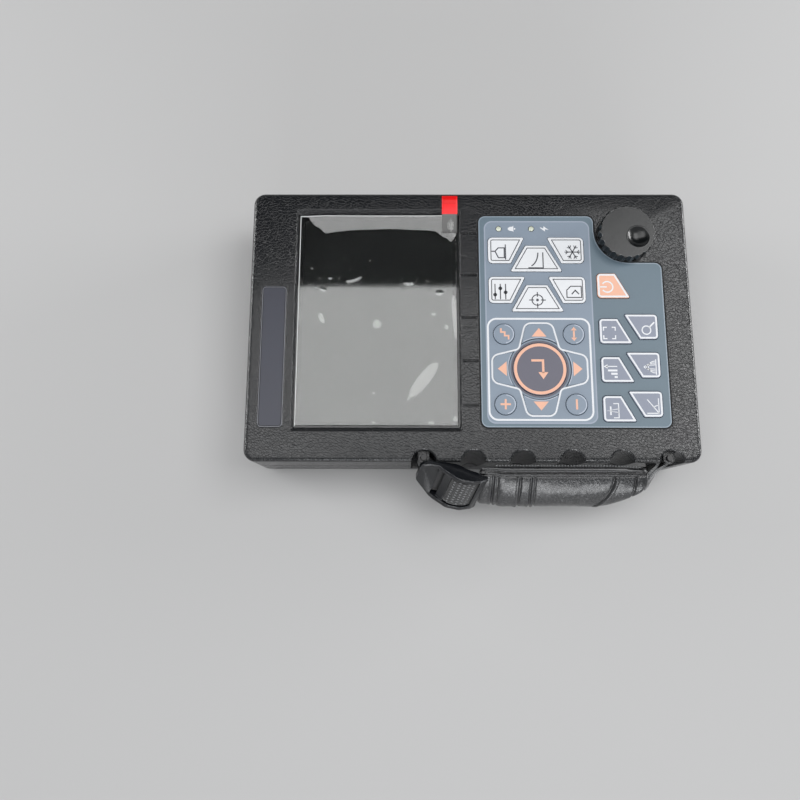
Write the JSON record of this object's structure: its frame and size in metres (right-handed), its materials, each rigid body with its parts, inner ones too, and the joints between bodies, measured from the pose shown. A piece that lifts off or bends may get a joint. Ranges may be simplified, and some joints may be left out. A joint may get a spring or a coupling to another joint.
{
  "type": "ultrasonic flaw detector",
  "caption": "Hand-held ultrasonic flaw detector with a window, a printed keypad, a fluted knob, finger scoops and a padded hand strap.",
  "frame": {"origin": "centre of the case's flat back, on the back's plane", "axes": "+Z out of the face, +Y towards the display end, +X towards the side without the strap"},
  "size_m": [0.1975, 0.263, 0.0606],
  "materials": {
    "case": "moulded with a fine leather grain",
    "seal": "matt",
    "steel": "satin",
    "window": "polished",
    "film": "clear film with small bubbles",
    "tab": "red film",
    "plate": "satin, bare",
    "overlay": "printed sheet, satin",
    "lcd": "dark",
    "sheet": "satin",
    "ribbon": "flexible film",
    "board": "solder mask",
    "tin": "tinned",
    "lamp": "clear lens",
    "knob": "satin",
    "encoder": "satin",
    "chip": "matt",
    "battery": "shrink sleeve",
    "contact": "bright",
    "socket_plate": "satin black",
    "socket": "nickel plated",
    "insert": "white insulator",
    "strap": "glossy grained",
    "buckle": "satin",
    "webbing": "woven",
    "white_key": "satin print",
    "power_key": "satin print",
    "enter_key": "satin print",
    "grey_key": "satin print"
  },
  "bodies": {
    "instrument": {"front_housing": "case", "rear_housing": "case", "housing_seal": "seal", "case_screws": "steel", "window_glass": "window", "window_seal": "seal", "screen_film": "film", "film_pull_tab": "tab", "name_plate": "plate", "keypad_overlay": "overlay", "lcd_panel": "lcd", "lcd_bracket": "sheet", "inner_screws": "steel", "lcd_ribbon": "ribbon", "keypad_board": "board", "key_domes": "tin", "indicator_lamps": "lamp", "encoder_body": "encoder", "main_board": "board", "board_chips": "chip", "shield_can": "tin", "battery_pack": "battery", "battery_contacts": "contact", "battery_cover": "case", "cover_screws": "steel", "socket_plate": "socket_plate", "probe_sockets": "socket", "socket_inserts": "insert", "signal_ports": "chip", "stand_pin": "steel", "strap_anchor_pins": "steel", "strap_web_upper": "webbing", "strap_web_lower": "webbing"},
    "menu_key_1_body": {"menu_key_1": "white_key"},
    "menu_key_2_body": {"menu_key_2": "white_key"},
    "menu_key_3_body": {"menu_key_3": "white_key"},
    "menu_key_4_body": {"menu_key_4": "white_key"},
    "menu_key_5_body": {"menu_key_5": "white_key"},
    "menu_key_6_body": {"menu_key_6": "white_key"},
    "power_key_body": {"power_key": "power_key"},
    "function_key_1_body": {"function_key_1": "grey_key"},
    "function_key_2_body": {"function_key_2": "grey_key"},
    "function_key_3_body": {"function_key_3": "grey_key"},
    "function_key_4_body": {"function_key_4": "grey_key"},
    "function_key_5_body": {"function_key_5": "grey_key"},
    "function_key_6_body": {"function_key_6": "grey_key"},
    "arrow_key_up_body": {"arrow_key_up": "grey_key"},
    "arrow_key_down_body": {"arrow_key_down": "grey_key"},
    "arrow_key_left_body": {"arrow_key_left": "grey_key"},
    "arrow_key_right_body": {"arrow_key_right": "grey_key"},
    "enter_key_body": {"enter_key": "enter_key"},
    "corner_key_1_body": {"corner_key_1": "grey_key"},
    "corner_key_2_body": {"corner_key_2": "grey_key"},
    "corner_key_3_body": {"corner_key_3": "grey_key"},
    "corner_key_4_body": {"corner_key_4": "grey_key"},
    "knob_unit": {"knob": "knob", "encoder_shaft": "steel"},
    "stand": {"tilt_stand": "case"},
    "hand_strap": {"strap_pad": "strap", "strap_buckle": "buckle"}
  },
  "joints": [
    {"name": "menu_key_1_press", "type": "slide", "parent": "instrument", "child": "menu_key_1_body", "axis": [0, 0, -1], "range_m": [0, 0.0004], "stiffness_N_per_m": 900, "springref_m": -0.0006},
    {"name": "menu_key_2_press", "type": "slide", "parent": "instrument", "child": "menu_key_2_body", "axis": [0, 0, -1], "range_m": [0, 0.0004], "stiffness_N_per_m": 900, "springref_m": -0.0006},
    {"name": "menu_key_3_press", "type": "slide", "parent": "instrument", "child": "menu_key_3_body", "axis": [0, 0, -1], "range_m": [0, 0.0004], "stiffness_N_per_m": 900, "springref_m": -0.0006},
    {"name": "menu_key_4_press", "type": "slide", "parent": "instrument", "child": "menu_key_4_body", "axis": [0, 0, -1], "range_m": [0, 0.0004], "stiffness_N_per_m": 900, "springref_m": -0.0006},
    {"name": "menu_key_5_press", "type": "slide", "parent": "instrument", "child": "menu_key_5_body", "axis": [0, 0, -1], "range_m": [0, 0.0004], "stiffness_N_per_m": 900, "springref_m": -0.0006},
    {"name": "menu_key_6_press", "type": "slide", "parent": "instrument", "child": "menu_key_6_body", "axis": [0, 0, -1], "range_m": [0, 0.0004], "stiffness_N_per_m": 900, "springref_m": -0.0006},
    {"name": "power_key_press", "type": "slide", "parent": "instrument", "child": "power_key_body", "axis": [0, 0, -1], "range_m": [0, 0.0004], "stiffness_N_per_m": 900, "springref_m": -0.0006},
    {"name": "function_key_1_press", "type": "slide", "parent": "instrument", "child": "function_key_1_body", "axis": [0, 0, -1], "range_m": [0, 0.0004], "stiffness_N_per_m": 900, "springref_m": -0.0006},
    {"name": "function_key_2_press", "type": "slide", "parent": "instrument", "child": "function_key_2_body", "axis": [0, 0, -1], "range_m": [0, 0.0004], "stiffness_N_per_m": 900, "springref_m": -0.0006},
    {"name": "function_key_3_press", "type": "slide", "parent": "instrument", "child": "function_key_3_body", "axis": [0, 0, -1], "range_m": [0, 0.0004], "stiffness_N_per_m": 900, "springref_m": -0.0006},
    {"name": "function_key_4_press", "type": "slide", "parent": "instrument", "child": "function_key_4_body", "axis": [0, 0, -1], "range_m": [0, 0.0004], "stiffness_N_per_m": 900, "springref_m": -0.0006},
    {"name": "function_key_5_press", "type": "slide", "parent": "instrument", "child": "function_key_5_body", "axis": [0, 0, -1], "range_m": [0, 0.0004], "stiffness_N_per_m": 900, "springref_m": -0.0006},
    {"name": "function_key_6_press", "type": "slide", "parent": "instrument", "child": "function_key_6_body", "axis": [0, 0, -1], "range_m": [0, 0.0004], "stiffness_N_per_m": 900, "springref_m": -0.0006},
    {"name": "arrow_key_up_press", "type": "slide", "parent": "instrument", "child": "arrow_key_up_body", "axis": [0, 0, -1], "range_m": [0, 0.0004], "stiffness_N_per_m": 900, "springref_m": -0.0006},
    {"name": "arrow_key_down_press", "type": "slide", "parent": "instrument", "child": "arrow_key_down_body", "axis": [0, 0, -1], "range_m": [0, 0.0004], "stiffness_N_per_m": 900, "springref_m": -0.0006},
    {"name": "arrow_key_left_press", "type": "slide", "parent": "instrument", "child": "arrow_key_left_body", "axis": [0, 0, -1], "range_m": [0, 0.0004], "stiffness_N_per_m": 900, "springref_m": -0.0006},
    {"name": "arrow_key_right_press", "type": "slide", "parent": "instrument", "child": "arrow_key_right_body", "axis": [0, 0, -1], "range_m": [0, 0.0004], "stiffness_N_per_m": 900, "springref_m": -0.0006},
    {"name": "enter_key_press", "type": "slide", "parent": "instrument", "child": "enter_key_body", "axis": [0, 0, -1], "range_m": [0, 0.0004], "stiffness_N_per_m": 900, "springref_m": -0.0006},
    {"name": "corner_key_1_press", "type": "slide", "parent": "instrument", "child": "corner_key_1_body", "axis": [0, 0, -1], "range_m": [0, 0.0004], "stiffness_N_per_m": 900, "springref_m": -0.0006},
    {"name": "corner_key_2_press", "type": "slide", "parent": "instrument", "child": "corner_key_2_body", "axis": [0, 0, -1], "range_m": [0, 0.0004], "stiffness_N_per_m": 900, "springref_m": -0.0006},
    {"name": "corner_key_3_press", "type": "slide", "parent": "instrument", "child": "corner_key_3_body", "axis": [0, 0, -1], "range_m": [0, 0.0004], "stiffness_N_per_m": 900, "springref_m": -0.0006},
    {"name": "corner_key_4_press", "type": "slide", "parent": "instrument", "child": "corner_key_4_body", "axis": [0, 0, -1], "range_m": [0, 0.0004], "stiffness_N_per_m": 900, "springref_m": -0.0006},
    {"name": "knob_turn", "type": "hinge", "parent": "instrument", "child": "knob_unit", "pos_m": [0.0536, -0.0932, 0.052], "axis": [0, 0, 1], "continuous": true},
    {"name": "stand_swing", "type": "hinge", "parent": "instrument", "child": "stand", "pos_m": [0, 0.096, 0.0022], "axis": [1, 0, 0], "range_deg": [0, 70]},
    {"name": "strap_swing", "type": "hinge", "parent": "instrument", "child": "hand_strap", "pos_m": [-0.0796, -0.043, 0.03], "axis": [0, 1, 0], "range_deg": [-25, 0], "deforming": ["strap_web_upper", "strap_web_lower"]}
  ]
}
